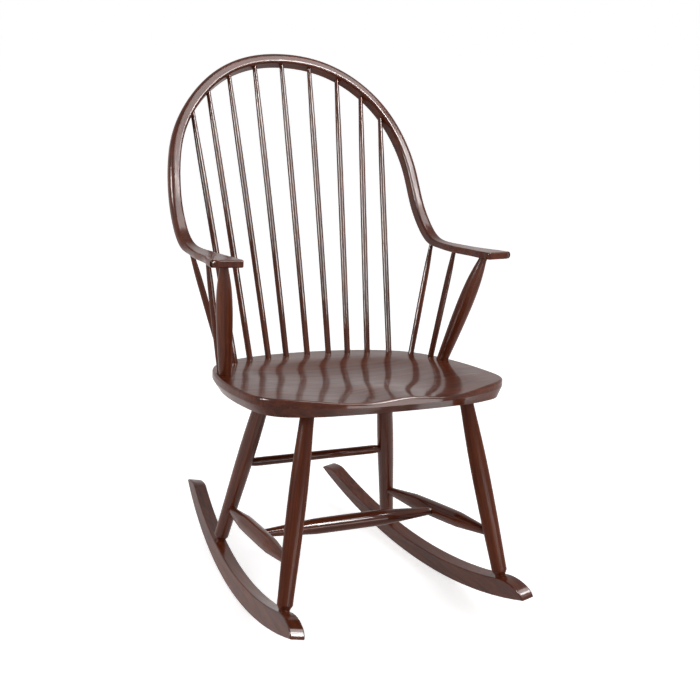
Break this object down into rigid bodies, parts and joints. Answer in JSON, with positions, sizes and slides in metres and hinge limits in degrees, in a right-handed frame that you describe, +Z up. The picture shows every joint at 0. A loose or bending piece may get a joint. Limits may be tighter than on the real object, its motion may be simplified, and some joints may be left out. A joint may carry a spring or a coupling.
{
  "type": "rocking chair",
  "caption": "Hoop back rocking chair in stained wood: saddled plank seat, bent bow that runs on into both arms, turned spindles, posts, splayed legs with stretchers, and curved rockers.",
  "frame": {"origin": "on the floor, in the middle of the chair's overall width and length, with the chair standing in balance on its rockers", "axes": "+X to the sitter's left, -Y the way the sitter faces, +Z up"},
  "size_m": [0.6462, 0.794, 1.0175],
  "materials": {
    "seat_wood": "dark reddish brown stain under satin lacquer, on a wide plank seat",
    "bent_bow_wood": "dark reddish brown stain under satin lacquer, grain along the bend",
    "turned_wood": "dark reddish brown stain under satin lacquer, grain along each turned piece",
    "rocker_wood": "dark reddish brown stain under satin lacquer, grain along the board"
  },
  "bodies": {
    "root": {"arm_post_left": "turned_wood", "arm_post_right": "turned_wood", "arm_spindle_front_left": "turned_wood", "arm_spindle_front_right": "turned_wood", "arm_spindle_rear_left": "turned_wood", "arm_spindle_rear_right": "turned_wood", "back_spindle_1": "turned_wood", "back_spindle_2": "turned_wood", "back_spindle_3": "turned_wood", "back_spindle_4": "turned_wood", "back_spindle_5": "turned_wood", "back_spindle_6": "turned_wood", "back_spindle_7": "turned_wood", "back_spindle_8": "turned_wood", "back_spindle_9": "turned_wood", "bow_with_arms": "bent_bow_wood", "cross_stretcher": "turned_wood", "front_leg_left": "turned_wood", "front_leg_right": "turned_wood", "rear_leg_left": "turned_wood", "rear_leg_right": "turned_wood", "rear_stretcher": "turned_wood", "rocker_left": "rocker_wood", "rocker_right": "rocker_wood", "seat": "seat_wood", "side_stretcher_left": "turned_wood", "side_stretcher_right": "turned_wood"}
  },
  "joints": []
}
